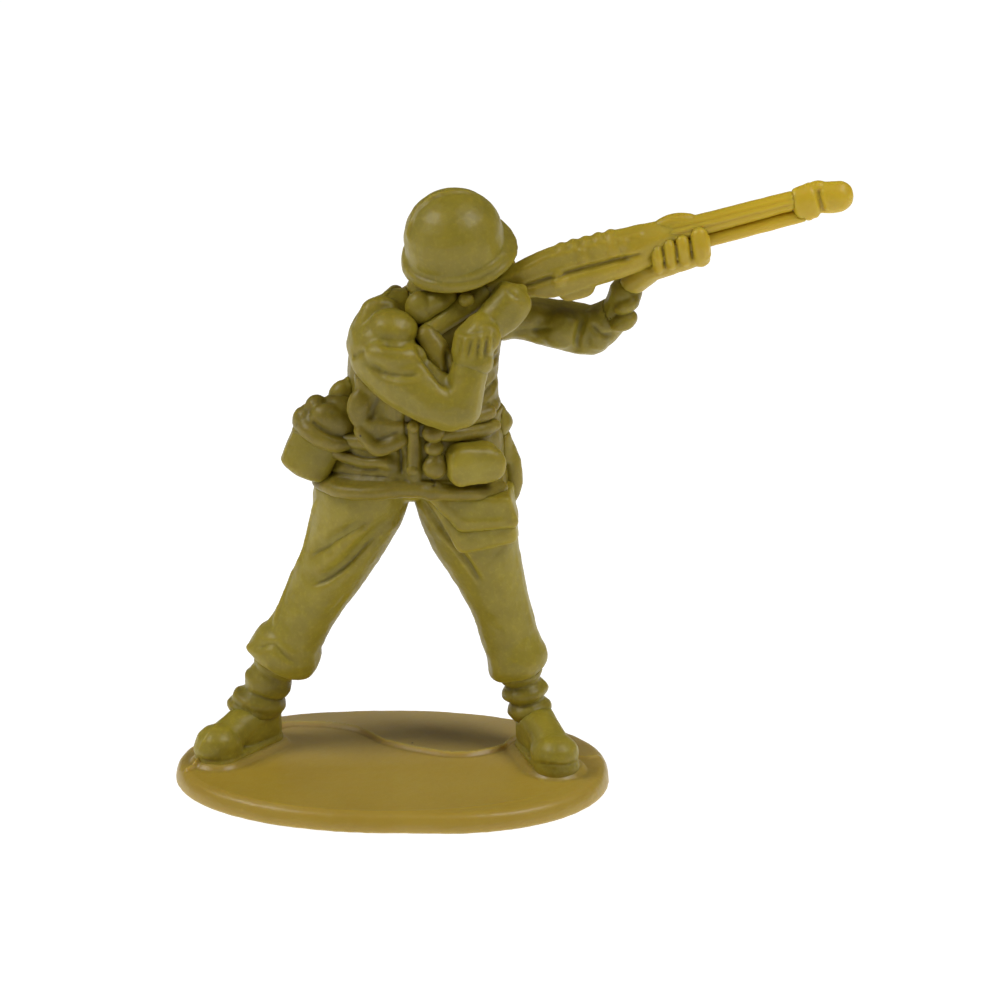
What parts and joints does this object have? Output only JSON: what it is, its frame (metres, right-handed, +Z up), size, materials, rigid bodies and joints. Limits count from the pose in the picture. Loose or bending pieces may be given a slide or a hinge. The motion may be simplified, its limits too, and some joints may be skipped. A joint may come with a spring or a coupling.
{
  "type": "toy soldier figurine",
  "caption": "Toy rifleman moulded in olive polythene, standing with legs apart and aiming a rifle, on a flat oval base plate.",
  "frame": {"origin": "centre of the base plate's underside", "axes": "+Z up, +X the way the rifle points, the figure's chest faces -Y"},
  "size_m": [0.0565, 0.0251, 0.0526],
  "materials": {
    "figure": "satin, waxy soft polythene, self-coloured olive",
    "rifle": "satin, waxy soft polythene, looks yellower where it is thin",
    "base": "satin, waxy soft polythene, smooth flat plate"
  },
  "bodies": {
    "root": {"base_plate": "base", "right_sole": "figure", "left_sole": "figure", "right_boot": "figure", "left_boot": "figure", "right_legging": "figure", "left_legging": "figure", "right_trouser_leg": "figure", "left_trouser_leg": "figure", "right_trouser_cuff": "figure", "left_trouser_cuff": "figure", "cargo_pocket": "figure", "cargo_pocket_flap": "figure", "jacket_skirt": "figure", "jacket_hem": "figure", "jacket_pocket_flap": "figure", "waist_belt": "figure", "placket": "figure", "placket_buttons": "figure", "front_pouch": "figure", "side_pouch": "figure", "side_pouch_flap": "figure", "hip_sheath": "figure", "hip_sheath_flap": "figure", "canteen": "figure", "canteen_flap": "figure", "canteen_strap": "figure", "jacket_chest": "figure", "collar": "figure", "shoulder_strap": "figure", "right_upper_sleeve": "figure", "right_forearm_sleeve": "figure", "right_cuff": "figure", "right_hand": "figure", "left_upper_sleeve": "figure", "left_forearm_sleeve": "figure", "left_cuff": "figure", "left_hand": "figure", "left_fingers": "figure", "head": "figure", "helmet_shell": "figure", "helmet_rim": "figure", "rifle_butt": "rifle", "rifle_stock": "rifle", "rifle_receiver": "rifle", "rifle_barrel": "rifle", "rifle_tube": "rifle", "rear_sight": "rifle", "front_band": "rifle", "muzzle": "rifle", "trigger_guard": "rifle", "bolt_handle": "rifle"}
  },
  "joints": []
}
